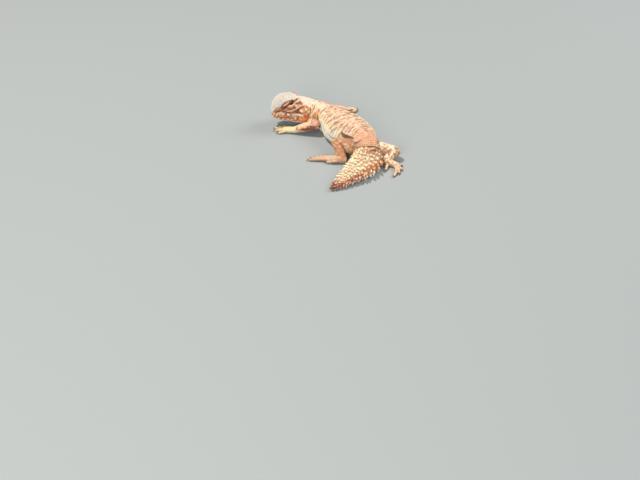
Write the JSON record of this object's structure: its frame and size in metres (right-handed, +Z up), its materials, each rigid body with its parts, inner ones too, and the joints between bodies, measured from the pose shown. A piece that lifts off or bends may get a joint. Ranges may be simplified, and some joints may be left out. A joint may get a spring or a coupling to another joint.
{
  "type": "uromastyx",
  "caption": "Young spiny-tailed lizard resting flat on its belly, head raised and turned to its left, legs sprawled and the thick spiny tail curved round to the same side.",
  "frame": {"origin": "on the floor under the middle of the torso, at the flat of the belly", "axes": "+Z up, the middle of the torso points its head end to -X, and the animal's left side is -Y"},
  "size_m": [0.1208, 0.0903, 0.0275],
  "materials": {
    "head_skin": "matte",
    "neck_skin": "matte",
    "torso_skin": "matte",
    "tail_skin": "matte",
    "limb_skin": "matte",
    "eye": "wet",
    "claw": "satin"
  },
  "bodies": {
    "root": {"head": "head_skin", "eye_left": "eye", "eye_right": "eye", "neck": "neck_skin", "torso": "torso_skin", "tail_base": "tail_skin", "tail_middle": "tail_skin", "tail_tip": "tail_skin", "upper_arm_left": "limb_skin", "forearm_left": "limb_skin", "hand_left": "limb_skin", "thigh_left": "limb_skin", "shin_left": "limb_skin", "foot_left": "limb_skin", "claw_hand_left_1": "claw", "claw_hand_left_2": "claw", "claw_hand_left_3": "claw", "claw_hand_left_4": "claw", "claw_hand_left_5": "claw", "claw_foot_left_1": "claw", "claw_foot_left_2": "claw", "claw_foot_left_3": "claw", "claw_foot_left_4": "claw", "claw_foot_left_5": "claw", "upper_arm_right": "limb_skin", "forearm_right": "limb_skin", "hand_right": "limb_skin", "thigh_right": "limb_skin", "shin_right": "limb_skin", "foot_right": "limb_skin", "claw_hand_right_1": "claw", "claw_hand_right_2": "claw", "claw_hand_right_3": "claw", "claw_hand_right_4": "claw", "claw_hand_right_5": "claw", "claw_foot_right_1": "claw", "claw_foot_right_2": "claw", "claw_foot_right_3": "claw", "claw_foot_right_4": "claw", "claw_foot_right_5": "claw"}
  },
  "joints": []
}
